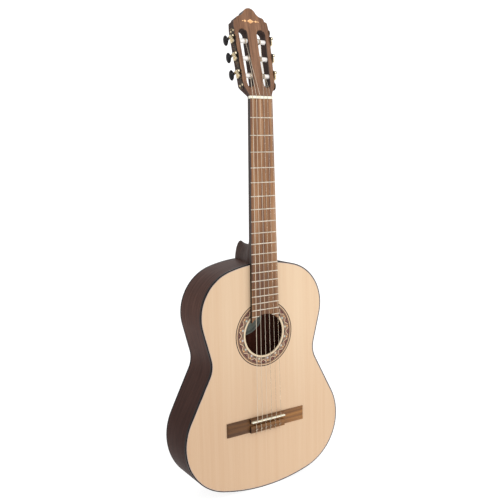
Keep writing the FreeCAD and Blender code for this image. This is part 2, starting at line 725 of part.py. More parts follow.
for side in (1, -1):
    bevel_sketch = sketch_on(bridge, "XY_Plane", BRIDGE_LOW)
    tip = side * dim("bridge_length") / 2
    draw(bevel_sketch, (tip - side * WING_BEVEL, -6), (tip + side, -6), (tip + side, -1.2), (tip, -1.2),
         (tip - side * WING_BEVEL, -4.5))
    pocket(bridge, bevel_sketch, "bridge_width", Reversed=True)
doc.recompute()
bridge_shape = bridge.Shape
for number in range(1, 7):
    back, tie = string_points(number)[:2]
    tie_hole = rod(back - Vector(0, 0, 5), tie + Vector(0, 0, 1), dim("tie_hole_radius"))
    bridge_shape = bridge_shape.cut(tie_hole)
feature("bridge", bridge_shape)

saddle = pd_body("saddle")
saddle_sketch = sketch_on(saddle, "YZ_Plane")
crown_start = -dim("string_rise_saddle") + SADDLE_ROUND
draw(saddle_sketch, (-dim("saddle_seat"), SEAT_BACK), (crown_start, SEAT_BACK),
     ((-dim("string_rise_saddle"), CREST), (crown_start, SEAT_BACK + dim("saddle_thickness"))),
     (-dim("saddle_seat"), SEAT_BACK + dim("saddle_thickness")))
pad(saddle, saddle_sketch, "saddle_length", Midplane=True)

# ---------------------------------------------------------------- label on the back, behind the sound hole

label_edge = Part.Ellipse(Vector(), dim("label_width") / 2, dim("label_height") / 2)
label_block = Part.Face(Part.Wire(label_edge.toShape())).extrude(Vector(0, 0, DEEP))
label_block.Placement = Placement(Vector(0, DEEP, dim("label_centre")), Rotation(Vector(1, 0, 0), 90))
feature("label", label_block.common(dish(BACK)).cut(dish(BACK + dim("label_thickness"))))

# ---------------------------------------------------------------- tuning machines

PLATE = dim("plate_thickness")
EAR_THICK, EAR_HALF = 1.6, 2.9
EAR_AT = dim("worm_length") / 2 + 0.5
SHAFT_END = dim("button_depth") - dim("roller_depth") + 1.5
SCREW_SHANK, SCREW_HEAD, SCREW_DEPTH = 1.2, 2.2, 9.0
SCREW_SPOTS = [(x, y) for x in (-54, 54) for y in (-4.5, 4.5)]
# the plate's scallops: place along it from the nearest roller or from its middle, and radius
TUNER_LOBES = ((-1.5, 7.5), (5, 9))
END_LOBES = ((-54, 8), (54, 8))


def plate_ear(middle, near):
    """A round-topped ear that stands on the plate, around the worm's shaft."""
    foot = Part.makeBox(2 * EAR_HALF, EAR_THICK, BRASS_FACE, Vector(middle - EAR_HALF, near, 0))
    centre = Vector(middle, near, BRASS_FACE)
    return foot.fuse(rod(centre, centre + Vector(0, EAR_THICK, 0), EAR_HALF))


def machine_plate(side):
    """A scalloped side plate with its three roller holes and the ears that carry the worms."""
    long, wide = dim("plate_length"), dim("plate_width")
    places = [row * dim("tuner_pitch") for row in (-1, 0, 1)]
    lobes = list(END_LOBES) + [(at + shift, radius) for at in places for shift, radius in TUNER_LOBES]
    raised = [Part.makeCylinder(radius, PLATE, Vector(x, 0, 0)) for x, radius in lobes]
    holes = [rod(Vector(x, y, -1), Vector(x, y, PLATE + 1), SCREW_SHANK) for x, y in SCREW_SPOTS]
    reach = EAR_AT + EAR_THICK + 1
    for at in places:
        worm = at + dim("worm_distance")
        raised += [plate_ear(worm, EAR_AT), plate_ear(worm, -EAR_AT - EAR_THICK)]
        holes.append(rod(Vector(worm, -reach, BRASS_FACE), Vector(worm, reach, BRASS_FACE),
                         dim("shaft_radius") + dim("fit_gap")))
        holes.append(rod(Vector(at, 0, -1), Vector(at, 0, PLATE + 1), dim("hub_radius") + dim("fit_gap")))
    strip = Part.makeBox(long, wide, PLATE, Vector(-long / 2, -wide / 2, 0))
    plate = strip.fuse(raised).cut(holes).removeSplitter()
    plate.Placement = machine_frame(side)
    return plate


def wood_screw(side, spot):
    """A round-headed screw that holds a plate to the head."""
    x, y = spot
    shank = rod(Vector(x, y, -SCREW_DEPTH), Vector(x, y, PLATE), SCREW_SHANK)
    cap = Part.makeSphere(SCREW_HEAD * 1.25, Vector(x, y, PLATE - 1.6), Vector(0, 0, 1), -90, 90, 360)
    cap = cap.common(Part.makeCylinder(SCREW_HEAD, 3, Vector(x, y, PLATE)))
    slot = Part.makeBox(2 * SCREW_HEAD, 0.6, 1, Vector(x - SCREW_HEAD, y - 0.3, PLATE + 0.75))
    screw = shank.fuse(cap).cut(slot)
    screw.Placement = machine_frame(side)
    return screw


screws = [wood_screw(side, spot) for side in SIDES for spot in SCREW_SPOTS]
for wood in (doc.getObject("headstock"), doc.getObject("head_veneer")):
    wood.Shape = wood.Shape.cut(Part.makeCompound(screws))
feature("plate_screws", Part.makeCompound(screws))
for side in SIDES:
    feature(f"tuner_plate_{side}", machine_plate(side))


def turned(label, profile, place):
    """A revolved body: profile gives (radius, height) corners about the body's own Z axis."""
    body = pd_body(label)
    sketch = sketch_on(body, "XZ_Plane")
    draw(sketch, *profile)
    revolve(body, sketch)
    body.Placement = place
    return body


def roller(number):
    side, row = side_of(number), roller_row(number)
    place = machine_frame(side).multiply(Placement(Vector(row, 0, 0), Rotation()))
    wide, pin, hub = dim("roller_radius"), dim("pin_radius"), dim("hub_radius")
    web = -depth_of(number, dim("slot_inner"))
    return turned(f"roller_{number}", (
        (0, web - PIN_LENGTH), (pin, web - PIN_LENGTH), (pin, web + WEB_GAP), (wide - 0.4, web + WEB_GAP),
        (wide, web + WEB_GAP + 0.4), (wide, -ROLLER_END), (hub, -ROLLER_END), (hub, dim("gear_stand")),
        (0, dim("gear_stand"))), place)


TOOTH_SINK, TOOTH_FOOT = 0.3, 0.62  # how deep a tooth is set in its wheel or worm, and half its foot


def gear_shape():
    """A toothed wheel with straight-sided teeth, and the slotted screw that holds it."""
    teeth, pitch = int(dim("gear_teeth")), dim("gear_pitch_radius")
    root, tip = pitch - 0.75, pitch + 0.5
    low, high = dim("gear_stand"), dim("gear_stand") + dim("gear_thickness")
    wheel = Part.makeCylinder(root, high - low, Vector(0, 0, low))
    inside, foot_half, tip_half = root - TOOTH_SINK, TOOTH_FOOT, 0.24
    corners = [Vector(inside, -foot_half, low), Vector(tip, -tip_half, low), Vector(tip, tip_half, low),
               Vector(inside, foot_half, low), Vector(inside, -foot_half, low)]
    tooth = Part.Face(Part.makePolygon(corners)).extrude(Vector(0, 0, high - low))
    for index in range(teeth):
        one = tooth.copy()
        one.rotate(Vector(), Vector(0, 0, 1), 360 / teeth * (index + 0.5))
        wheel = wheel.fuse(one)
    wheel = wheel.removeSplitter()
    head = Part.makeCylinder(2.3, 1.1, Vector(0, 0, high))
    slot = Part.makeBox(5, 0.6, 0.6, Vector(-2.5, -0.3, high + 0.5))
    return Part.makeCompound([wheel, head.cut(slot)])


def worm_shape():
    """The worm: a shaft, along Z, with one thread of trapezoid section at its middle."""
    lead = 2 * math.pi * dim("gear_pitch_radius") / dim("gear_teeth")
    root, outer, long = dim("worm_root"), dim("worm_outer"), dim("worm_length")
    core = Part.makeCylinder(root, long, Vector(0, 0, -long / 2))
    turns = int((long - 1.6) / lead)
    rise = turns * lead
    inside, foot_half, tip_half = root - TOOTH_SINK, TOOTH_FOOT, 0.26
    helix = Part.makeHelix(lead, rise, inside)
    corners = [Vector(inside, 0, -foot_half), Vector(outer, 0, -tip_half), Vector(outer, 0, tip_half),
               Vector(inside, 0, foot_half), Vector(inside, 0, -foot_half)]
    thread = Part.Wire(helix).makePipeShell([Part.makePolygon(corners)], True, True)
    thread.translate(Vector(0, 0, -rise / 2))
    front = Part.makeCylinder(dim("shaft_radius"), EAR_AT + EAR_THICK, Vector(0, 0, -EAR_AT - EAR_THICK))
    back = Part.makeCylinder(dim("shaft_radius"), SHAFT_END, Vector())
    return core.fuse([thread, front, back])


def worm_place(number):
    """Frame of a worm: Z backwards along its shaft, from its middle, and X along the head."""
    side, row = side_of(number), roller_row(number)
    at = machine_point(side, row + dim("worm_distance"), 0, BRASS_FACE)
    back = HEAD.Rotation.multVec(Vector(0, 1, 0))
    along = machine_frame(side).Rotation.multVec(Vector(1, 0, 0))
    return Placement(at, Rotation(along, back.cross(along), back, "ZXY"))


COLLAR_LENGTH = 5.2


def button_shape():
    """An oval button, its long way across the shaft, with a neck and a blind hole for the shaft."""
    middle = dim("button_depth") - dim("roller_depth")
    half = Vector(dim("button_length") / 2, dim("button_thickness") / 2, dim("button_width") / 2)
    ball = Part.makeSphere(1)
    squeeze = FreeCAD.Matrix()
    squeeze.scale(half.x, half.y, half.z)
    oval = ball.transformGeometry(squeeze)
    oval.translate(Vector(0, 0, middle))
    collar = Part.makeCone(2.6, 3.6, COLLAR_LENGTH, Vector(0, 0, middle - half.z + 1.2 - COLLAR_LENGTH))
    shaft_hole = Part.makeCylinder(dim("shaft_radius"), SHAFT_END)
    return oval.fuse(collar).cut(shaft_hole)


wheel, worm, button = gear_shape(), worm_shape(), button_shape()
for number in range(1, 7):
    roller(number)
    side, row = side_of(number), roller_row(number)
    feature(f"gear_{number}", wheel).Placement = \
        machine_frame(side).multiply(Placement(Vector(row, 0, 0), Rotation()))
    feature(f"worm_{number}", worm).Placement = worm_place(number)
    feature(f"button_{number}", button).Placement = worm_place(number)

# ---------------------------------------------------------------- check and write

HELPERS = {"head_blank", "veneer_blank", "board_blank", "bridge_blank", "nut_blank", "nut_grooves"}
doc.recompute()
nodes = [obj for obj in doc.Objects
         if obj.TypeId in ("Part::Feature", "Part::Cut", "PartDesign::Body")
         and obj.Label not in HELPERS]
for obj in doc.Objects:
    if {"Invalid", "Error"} & set(obj.State):
        raise ValueError(f"{obj.Label} failed: {obj.State}")
for obj in nodes:
    if obj.Shape.isNull() or not obj.Shape.isValid() or not obj.Shape.Solids:
        raise ValueError(f"{obj.Label} is not a valid solid")

os.makedirs("parts", exist_ok=True)
for obj in nodes:
    obj.Shape.exportStep(os.path.join("parts", f"{obj.Label}.step"))
    print(f"{obj.Label:20s} {len(obj.Shape.Solids):3d} solids {obj.Shape.Volume / 1000:9.2f} cm3")
print(len(nodes), "nodes")
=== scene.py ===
# %% [markdown]
# # A classical guitar, from frame to finished picture
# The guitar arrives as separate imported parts: top, back, sides, neck, strings and tuning machines, each in
# its true place and size. This lesson gives every part the finish of its own wood or metal, adds the small
# things that a luthier adds last, such as the string loops on the bridge and the turns of string on the
# rollers, and then sets up a quiet white studio. Everything is in metres: X to the right, Y backwards
# through the body, Z up along the strings.

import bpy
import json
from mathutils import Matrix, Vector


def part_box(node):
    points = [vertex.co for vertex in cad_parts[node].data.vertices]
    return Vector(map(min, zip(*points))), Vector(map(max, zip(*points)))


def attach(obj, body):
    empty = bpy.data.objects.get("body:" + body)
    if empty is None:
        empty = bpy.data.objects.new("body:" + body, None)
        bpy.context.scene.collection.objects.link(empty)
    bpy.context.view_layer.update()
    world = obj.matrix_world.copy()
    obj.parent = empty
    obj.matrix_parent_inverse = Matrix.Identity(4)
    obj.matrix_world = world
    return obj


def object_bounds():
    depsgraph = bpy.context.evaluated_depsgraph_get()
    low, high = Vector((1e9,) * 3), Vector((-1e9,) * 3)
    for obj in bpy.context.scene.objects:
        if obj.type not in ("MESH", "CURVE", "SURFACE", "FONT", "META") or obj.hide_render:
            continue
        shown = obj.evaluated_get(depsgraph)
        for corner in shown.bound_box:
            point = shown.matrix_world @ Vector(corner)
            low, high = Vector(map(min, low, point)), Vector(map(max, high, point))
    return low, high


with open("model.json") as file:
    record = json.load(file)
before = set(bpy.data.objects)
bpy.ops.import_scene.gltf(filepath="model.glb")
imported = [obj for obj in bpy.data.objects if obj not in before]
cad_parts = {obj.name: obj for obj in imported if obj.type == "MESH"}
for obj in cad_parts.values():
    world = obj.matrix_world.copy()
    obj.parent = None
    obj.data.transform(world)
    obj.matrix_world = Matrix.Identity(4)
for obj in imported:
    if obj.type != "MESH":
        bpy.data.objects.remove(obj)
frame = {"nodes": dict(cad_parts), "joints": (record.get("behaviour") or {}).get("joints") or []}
cad_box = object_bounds()
nodes = frame["nodes"]
joints = {joint["name"]: joint for joint in frame["joints"]}
print("parts:", len(nodes), "joints:", len(joints))

# %% Other modules
import json
import math

import bpy
from mathutils import Matrix, Vector

MM = 0.001

# %% [markdown]
# ## Where things are
# Later steps need a few places again and again: the middle of the sound hole, the plane of the head, and
# the bridge. They are read from the parts' own boxes, so a change in the design carries through to every
# finish and trim.

# %% Places read from the parts
rosette_low, rosette_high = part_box("rosette")
HOLE = (rosette_low + rosette_high) / 2
bridge_low, bridge_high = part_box("bridge")
nut_low, nut_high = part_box("nut")
HEAD_BACK = Vector(joints["button_5_spin"]["axis"]).normalized()
HEAD_UP = Vector((1, 0, 0)).cross(HEAD_BACK) * -1
if HEAD_UP.z < 0:
    HEAD_UP.negate()
HEAD_FRONT = -4.5 * MM
HEAD_FACE = Vector((0, HEAD_FRONT, nut_high.z))
print("sound hole at", [round(v, 4) for v in HOLE])
print("head leans", round(math.degrees(math.asin(HEAD_UP.y)), 2), "degrees")

# %% [markdown]
# ## A small language for finishes
# A finish is a graph of shader nodes. Writing `1 - mask * 0.4` is easier to read than four lines that add
# and link Math nodes, so one small class stands for a socket and turns each operator into a node.
# Everything else, such as noise, a colour ramp or a bump, goes through one method that takes the node's
# type, its settings, and what its sockets get.

# %% The classes Value and Finish
def tint(red, green, blue):
    """A colour given as on a screen, from 0 to 255, in the linear values that shaders use."""
    def linear(level):
        share = level / 255
        return share / 12.92 if share <= 0.04045 else ((share + 0.055) / 1.055) ** 2.4
    return (linear(red), linear(green), linear(blue), 1.0)


class Value:
    """An output socket in an expression: each operator adds one Math node."""

    def __init__(self, finish, socket):
        self.finish, self.socket = finish, socket

    def do(self, operation, *terms):
        return self.finish.node("ShaderNodeMath", {"operation": operation}, dict(enumerate(terms)))

    def __add__(self, other):
        return self.do("ADD", self, other)

    def __sub__(self, other):
        return self.do("SUBTRACT", self, other)

    def __mul__(self, other):
        return self.do("MULTIPLY", self, other)

    def __truediv__(self, other):
        return self.do("DIVIDE", self, other)

    def __pow__(self, other):
        return self.do("POWER", self, other)

    def __lt__(self, other):
        return self.do("LESS_THAN", self, other)

    def __gt__(self, other):
        return self.do("GREATER_THAN", self, other)

    def __rsub__(self, other):
        return self.do("SUBTRACT", other, self)

    def __abs__(self):
        return self.do("ABSOLUTE", self)

    __radd__, __rmul__ = __add__, __mul__


class Finish:
    """A material with one Principled shader, and short ways to feed it."""

    def __init__(self, name, **constants):
        self.material = bpy.data.materials.new(name)
        self.material.use_nodes = True
        self.tree = self.material.node_tree
        self.shader = self.tree.nodes["Principled BSDF"]
        for socket, value in constants.items():
            self.shader.inputs[socket.replace("_", " ")].default_value = value

    def node(self, kind, settings=None, sockets=None, out=0):
        made = self.tree.nodes.new(kind)
        for key, value in (settings or {}).items():
            if key == "stops":
                self._fill_ramp(made.color_ramp, *value)
            else:
                setattr(made, key, value)
        for key, value in (sockets or {}).items():
            if isinstance(value, Value):
                self.tree.links.new(value.socket, made.inputs[key])
            else:
                made.inputs[key].default_value = value
        return Value(self, made.outputs[out])

    @staticmethod
    def _fill_ramp(ramp, stops, sharp):
        ramp.interpolation = "CONSTANT" if sharp else "LINEAR"
        while len(ramp.elements) < len(stops):
            ramp.elements.new(1.0)
        for element, (place, colour) in zip(ramp.elements, stops):
            element.position, element.color = place, colour

    def place(self):
        """The three Object coordinates, in metres."""
        spot = self.node("ShaderNodeTexCoord", out="Object")
        return [self.node("ShaderNodeSeparateXYZ", None, {0: spot}, out=axis) for axis in "XYZ"]

    def vector(self, x, y, z):
        return self.node("ShaderNodeCombineXYZ", None, {0: x, 1: y, 2: z})

    def noise(self, vector, detail=3.0, rough=0.55, scale=1.0):
        return self.node("ShaderNodeTexNoise", None,
                         {"Vector": vector, "Scale": scale, "Detail": detail, "Roughness": rough})

    def ramp(self, value, *stops, sharp=False):
        return self.node("ShaderNodeValToRGB", {"stops": (stops, sharp)}, {0: value})

    def step(self, value, low, high):
        """0 below low, 1 above high, and smooth between them."""
        return self.node("ShaderNodeMapRange", {"interpolation_type": "SMOOTHSTEP"},
                         {0: value, 1: low, 2: high})

    def mix(self, share, a, b, how="MIX"):
        return self.node("ShaderNodeMix", {"data_type": "RGBA", "blend_type": how},
                         {0: share, 6: a, 7: b}, out=2)

    def bump(self, height, distance, strength=1.0):
        return self.node("ShaderNodeBump", None,
                         {"Height": height, "Distance": distance, "Strength": strength})

    def feed(self, **links):
        for socket, value in links.items():
            self.tree.links.new(value.socket, self.shader.inputs[socket.replace("_", " ")])
        return self.material


def dress(material, *names):
    """Gives CAD parts a finish of their own."""
    for name in names:
        slots = nodes[name].data.materials
        slots.clear()
        slots.append(material)
    print(material.name, "on", ", ".join(names))


# %% [markdown]
# ## The spruce top
# A guitar top is two thin boards cut from one piece of spruce and opened like a book, so the grain on the
# left mirrors the grain on the right. The growth lines are about a millimetre apart and run straight along
# the strings, crossed by faint silky flecks. The mirror comes from using the distance from the centre line
# in place of X.

# %% Finish: spruce
CREAM_RING = 50 * MM
SPRUCE = (tint(216, 183, 148), tint(220, 190, 156), tint(223, 195, 162), tint(227, 200, 168))


def make_spruce():
    wood = Finish("spruce_top", Coat_Roughness=0.12, IOR=1.5)
    x, _, z = wood.place()
    across = abs(x)
    drift = wood.noise(wood.vector(across * 9, 0.0, z * 3)) * 0.004
    lane = across + drift
    lines = wood.noise(wood.vector(lane * 1150, 0.0, z * 5), detail=2.0, rough=0.7)
    bands = wood.noise(wood.vector(lane * 95, 4.0, z * 0.9), detail=3.0, rough=0.6)
    stripes = wood.noise(wood.vector(lane * 26, 9.0, z * 0.7), detail=1.0)
    silk = wood.noise(wood.vector(across * 60, 2.0, z * 900), detail=1.0)
    tone = lines * 0.42 + bands * 0.34 + stripes * 0.24
    colour = wood.ramp(tone, (0.36, SPRUCE[0]), (0.47, SPRUCE[1]), (0.56, SPRUCE[2]), (0.68, SPRUCE[3]))
    colour = wood.mix(wood.step(silk, 0.62, 0.75) * 0.10, colour, SPRUCE[3])
    # Painted shade: the top is darkened towards the bottom of the body.
    colour = wood.mix(wood.step(z, 0.42, 0.10) * 0.5, colour, tint(228, 214, 204), "MULTIPLY")
    # Painted shade: the bass side, towards negative X, is made darker than the treble side.
    colour = wood.mix(wood.step(x, 0.14, -0.16), colour, tint(243, 240, 238), "MULTIPLY")
    radius = (x ** 2.0 + (z - HOLE.z) ** 2.0) ** 0.5
    colour = wood.mix(radius < CREAM_RING, colour, tint(218, 196, 164))
    return wood.feed(Base_Color=colour, Roughness=0.30 + lines * 0.12,
                     Normal=wood.bump(lines, 0.00004, 0.35))


dress(make_spruce(), "soundboard")

# %% [markdown]
# ## Dark sides, back and neck
# The sides, back and neck are stained so dark that the grain shows mostly as a change of shine. A wooden
# strip bent round the body has its grain along the bend, so its pattern is fine across the depth and long
# along the outline; the back and neck have theirs upright. One function makes all three, and is told which
# way the grain runs.

# %% Finish: dark stained wood
def make_dark_wood(name, grain, dark, light, inner=None):
    """grain gives how many times a metre the pattern changes along X, Y and Z."""
    wood = Finish(name, Specular_IOR_Level=0.05, IOR=1.5)
    x, y, z = wood.place()
    lane = wood.vector(x * grain[0], y * grain[1], z * grain[2])
    streaks = wood.noise(lane, detail=4.0, rough=0.62)
    fine = wood.noise(lane, detail=2.0, rough=0.6, scale=5.0)
    cloud = wood.noise(wood.vector(x * 9, y * 9, z * 9), detail=2.0)
    tone = streaks * 0.55 + fine * 0.25 + cloud * 0.2
    colour = wood.ramp(tone, (0.35, dark), (0.66, light))
    # Painted shade: every dark wood is darkened towards the bottom of the body.
    colour = wood.mix(wood.step(z, 0.44, 0.12) * 0.85, colour, tint(172, 152, 148), "MULTIPLY")
    if inner:
        up = wood.node("ShaderNodeNewGeometry", out="Normal")
        facing = wood.node("ShaderNodeSeparateXYZ", None, {0: up}, out="Y")
        colour = wood.mix(facing < -0.5, colour, wood.ramp(tone, (0.35, inner[0]), (0.66, inner[1])))
    return wood.feed(Base_Color=colour, Roughness=0.40 + fine * 0.2, Normal=wood.bump(fine, 0.00005, 0.5))


SIDE_DARK, SIDE_LIGHT = tint(52, 32, 27), tint(90, 63, 54)
dress(make_dark_wood("side_wood", (14, 330, 14), SIDE_DARK, SIDE_LIGHT), "side_bass", "side_treble")
INNER_BACK = (tint(84, 44, 36), tint(124, 76, 60))
dress(make_dark_wood("back_wood", (240, 240, 7), SIDE_DARK, SIDE_LIGHT, INNER_BACK), "back_plate")
dress(make_dark_wood("neck_wood", (300, 300, 9), tint(50, 37, 34), tint(80, 63, 57)),
      "neck", "headstock", "heel_cap")
dress(make_dark_wood("inner_wood", (300, 300, 12), tint(120, 84, 58), tint(176, 136, 100)),
      "top_lining", "back_lining", "tail_block", "neck_block", "top_braces", "back_braces")

# %% [markdown]
# ## Edge strips
# The edge of the top is guarded by a black strip, and inside it runs a hair-thin pale line, the purfling.
# Both are only softly polished, so the edge stays a clean dark outline.

# %% Finish: binding and purfling
def make_strip(name, dark, light, rough):
    strip = Finish(name, Specular_IOR_Level=0.1)
    x, y, z = strip.place()
    cloud = strip.noise(strip.vector(x * 60, y * 60, z * 60), detail=3.0)
    colour = strip.ramp(cloud, (0.35, dark), (0.65, light))
    return strip.feed(Base_Color=colour, Roughness=rough + cloud * 0.12,
                      Normal=strip.bump(cloud, 0.00003, 0.3))


dress(make_strip("binding", tint(16, 13, 14), tint(28, 23, 24), 0.35), "top_binding", "back_binding")
dress(make_strip("purfling", tint(164, 146, 138), tint(188, 170, 160), 0.4), "top_purfling")

# %% [markdown]
# ## Rosewood
# The fingerboard, the bridge and the face of the head are rosewood: long dark veins, an orange-brown
# ground, and open pores that look like short scratches. The three boards differ in colour and in the way
# their grain runs.

# %% Finish: rosewood
def make_rosewood(name, along, stops, sideways_shade, shade):
    """along is 'X' or 'Z', the way the grain runs, and stops are the colours from vein to ground. The next
    argument is the share of near-black painted shade on the faces that look sideways. The last is a colour
    multiplied in as painted shade, and the two places between which it fades in."""
    wood = Finish(name, Specular_IOR_Level=0.3, IOR=1.5)
    x, y, z = wood.place()
    run, over = (z, x) if along == "Z" else (x, z)
    wander = wood.noise(wood.vector(run * 6, over * 20, y * 20), detail=2.0) * 0.006
    lane = over + wander
    veins = wood.noise(wood.vector(run * 4, lane * 190, y * 60), detail=5.0, rough=0.65)
    broad = wood.noise(wood.vector(run * 3, lane * 45, 7.0), detail=2.0)
    pores = wood.noise(wood.vector(run * 260, lane * 2600, y * 900), detail=1.0)
    pore = wood.step(pores, 0.60, 0.70)
    colour = wood.ramp(veins * 0.62 + broad * 0.38, *stops)
    colour = wood.mix(pore * 0.45, colour, stops[0][1])
    # Painted shade: darker towards low Z on the fingerboard and the head, and towards negative X on the
    # bridge.
    colour = wood.mix(wood.step(run, *shade[1]), colour, shade[0], "MULTIPLY")
    # Painted shade: the faces that look sideways get a share of near-black.
    facing = wood.node("ShaderNodeNewGeometry", out="Normal")
    sideways = abs(wood.node("ShaderNodeSeparateXYZ", None, {0: facing}, out="X"))
    colour = wood.mix((sideways > 0.7) * sideways_shade, colour, tint(18, 14, 14))
    return wood.feed(Base_Color=colour, Roughness=0.46 + pore * 0.25 - veins * 0.1,
                     Normal=wood.bump(1 - pore, 0.00008, 0.6))


FINGERBOARD_STOPS = ((0.38, tint(92, 66, 66)), (0.46, tint(132, 92, 62)),
                     (0.53, tint(160, 116, 78)), (0.62, tint(180, 138, 104)))
BRIDGE_STOPS = ((0.36, tint(84, 52, 28)), (0.46, tint(120, 80, 44)),
                (0.56, tint(150, 102, 54)), (0.66, tint(178, 128, 70)))
HEAD_STOPS = ((0.38, tint(96, 62, 40)), (0.47, tint(120, 82, 56)),
              (0.54, tint(136, 95, 66)), (0.64, tint(152, 112, 82)))
# In each call the last two arguments are painted shade: the near-black share on sideways faces, and the
# multiplied colour with its fade.
dress(make_rosewood("fingerboard_rosewood", "Z", FINGERBOARD_STOPS, 0.95,
                    (tint(206, 200, 196), (0.66, 0.36))), "fingerboard")
dress(make_rosewood("bridge_rosewood", "X", BRIDGE_STOPS, 0.85,
                    (tint(176, 172, 168), (0.08, -0.06))), "bridge")
dress(make_rosewood("head_face", "Z", HEAD_STOPS, 0.75,
                    (tint(246, 246, 246), (0.9, 0.8))), "head_veneer")

# %% [markdown]
# ## The rosette
# The rosette is a mosaic of tiny tiles pressed into a ring and inlaid round the sound hole. A ring is
# easiest to describe by its own two directions, out from the hole and round it, so the finish first works
# out the radius and the angle of each point. The angle, cut into 16 equal lengths, gives one tile pattern
# that repeats.

# %% Finish: mosaic
REPEATS, FIRST_TILE = 16, math.radians(-161)
MIDDLE_RING, RINGS_FROM, RINGS_WIDE = 57.0, 60.6, 7.8
HEART_POINT, HEART_HALF = 54.6, 6.6
OUTLINE_POINT, OUTLINE_HALF = 52.6, 8.4
FLARE = 1.15


def make_mosaic():
    """Hearts of dark wood that point at the hole, with a bead and a pearl between each two; all in mm."""
    tile = Finish("rosette_mosaic", Specular_IOR_Level=0.35)
    x, _, z = tile.place()
    rise = z - HOLE.z
    radius = (x ** 2.0 + rise ** 2.0) ** 0.5 * 1000
    turn = (rise.do("ARCTAN2", rise, x) - FIRST_TILE) * (REPEATS / (2 * math.pi)) + REPEATS + 0.5
    repeat = 2 * math.pi * MIDDLE_RING / REPEATS
    aside = abs(turn.do("FRACT", turn) - 0.5) * repeat
    between = repeat / 2 - aside
    number = (turn - 0.5).do("FLOOR", turn - 0.5)
    chance = tile.node("ShaderNodeTexWhiteNoise", {"noise_dimensions": "1D"}, {"W": number})
    grain = tile.noise(tile.vector(x * 2500, 0.0, z * 2500), detail=1.0)

    def two(dark, light):
        return tile.ramp(grain, (0.35, dark), (0.65, light))

    def spike(point, half):
        """A triangle that widens outwards from the radius point, up to half its width to each side."""
        return (aside < (radius - point) * FLARE) * (aside < half) * (radius < RINGS_FROM)

    def dot(away, half_wide, middle, half_high):
        """Below 1 inside an oval."""
        return (away / half_wide) ** 2.0 + ((radius - middle) / half_high) ** 2.0

    wedge = aside < (53.6 - radius) * 1.7
    bead = dot(between, 1.9, 58.0, 1.9)
    pearl = dot(between, 2.5, 52.6, 2.2)
    eye = dot(aside, 1.2, 58.6, 1.0)
    sheen = tile.ramp(chance, (0.2, tint(196, 190, 168)), (0.5, tint(164, 176, 166)),
                      (0.8, tint(180, 178, 178)))
    colour = two(tint(120, 90, 72), tint(146, 114, 92))
    outline = two(tint(186, 156, 126), tint(210, 184, 152))
    colour = tile.mix(spike(OUTLINE_POINT, OUTLINE_HALF), colour, outline)
    colour = tile.mix(spike(HEART_POINT, HEART_HALF), colour, two(tint(74, 38, 36), tint(100, 58, 50)))
    colour = tile.mix(wedge, colour, two(tint(62, 56, 48), tint(88, 78, 66)))
    colour = tile.mix(bead < 1.0, colour, two(tint(196, 142, 92), tint(216, 172, 120)))
    colour = tile.mix(pearl < 1.0, colour, sheen)
    colour = tile.mix(eye < 1.0, colour, tint(150, 92, 72))
    rings = tile.ramp((radius - RINGS_FROM) / RINGS_WIDE,
                      (0.0, tint(62, 38, 32)), (0.16, tint(140, 104, 80)), (0.32, tint(66, 42, 36)),
                      (0.46, tint(206, 172, 136)), (0.74, tint(44, 28, 26)), sharp=True)
    colour = tile.mix(radius > RINGS_FROM, colour, rings)
    return tile.feed(Base_Color=colour, Roughness=0.3 + grain * 0.14, Normal=tile.bump(grain, 0.00002, 0.4))


dress(make_mosaic(), "rosette")

# %% [markdown]
# ## Metal, bone, nylon and plastic
# The rest are plain materials, but none is a single colour. Nickel silver frets dull a little in soft
# patches, brass has fine brush marks, bone is faintly veined, and a wound string is a core wrapped in wire,
# which shows as even ridges.

# %% Finishes: metals
def make_metal(name, dark, light, rough, brush=(900, 900, 60), bronze_from=None):
    """Brushed metal; from bronze_from, a depth behind the head's face, it is dark bronze."""
    metal = Finish(name)
    x, y, z = metal.place()
    marks = metal.noise(metal.vector(x * brush[0], y * brush[1], z * brush[2]), detail=3.0)
    dull = metal.noise(metal.vector(x * 70, y * 70, z * 70), detail=2.0)
    colour = metal.ramp(dull * 0.6 + marks * 0.4, (0.35, dark), (0.65, light))
    if bronze_from:
        depth = (y - HEAD_FACE.y) * HEAD_BACK.y + (z - HEAD_FACE.z) * HEAD_BACK.z
        colour = metal.mix(metal.step(depth, bronze_from, bronze_from + 0.5 * MM), colour, tint(74, 56, 40))
    return metal.feed(Base_Color=colour, Roughness=rough + marks * 0.16, Metallic=1.0 - dull * 0.1,
                      Normal=metal.bump(marks, 0.00002, 0.3))


WRAP = 0.24 * MM


def make_wound():
    """A core wrapped in fine wire, one ridge each WRAP."""
    wire = Finish("wound_string")
    x, y, z = wire.place()
    phase = z * (2 * math.pi / WRAP)
    ridges = phase.do("SINE", phase) * 0.5 + 0.5
    dull = wire.noise(wire.vector(x * 200, y * 200, z * 12), detail=2.0)
    colour = wire.ramp(dull, (0.3, tint(200, 184, 164)), (0.7, tint(230, 216, 196)))
    return wire.feed(Base_Color=colour, Roughness=0.3 + dull * 0.15, Metallic=0.85 + ridges * 0.1,
                     Normal=wire.bump(ridges, 0.00004, 0.6))


def make_engraved():
    """Dark brass whose raised scrolls are a brighter, shinier brass."""
    metal = Finish("engraved_plate", Specular_IOR_Level=0.3)
    x, y, z = metal.place()
    scroll = metal.noise(metal.vector(x * 260, y * 260, z * 260), detail=3.0, rough=0.6)
    fine = metal.noise(metal.vector(x * 1400, y * 1400, z * 1400), detail=2.0)
    raised = metal.step(scroll + fine * 0.12, 0.62, 0.74)
    colour = metal.mix(raised, tint(44, 34, 28), tint(158, 130, 92))
    return metal.feed(Base_Color=colour, Metallic=0.2 + raised * 0.6, Roughness=0.55 - raised * 0.2,
                      Normal=metal.bump(raised, 0.0001, 0.5))


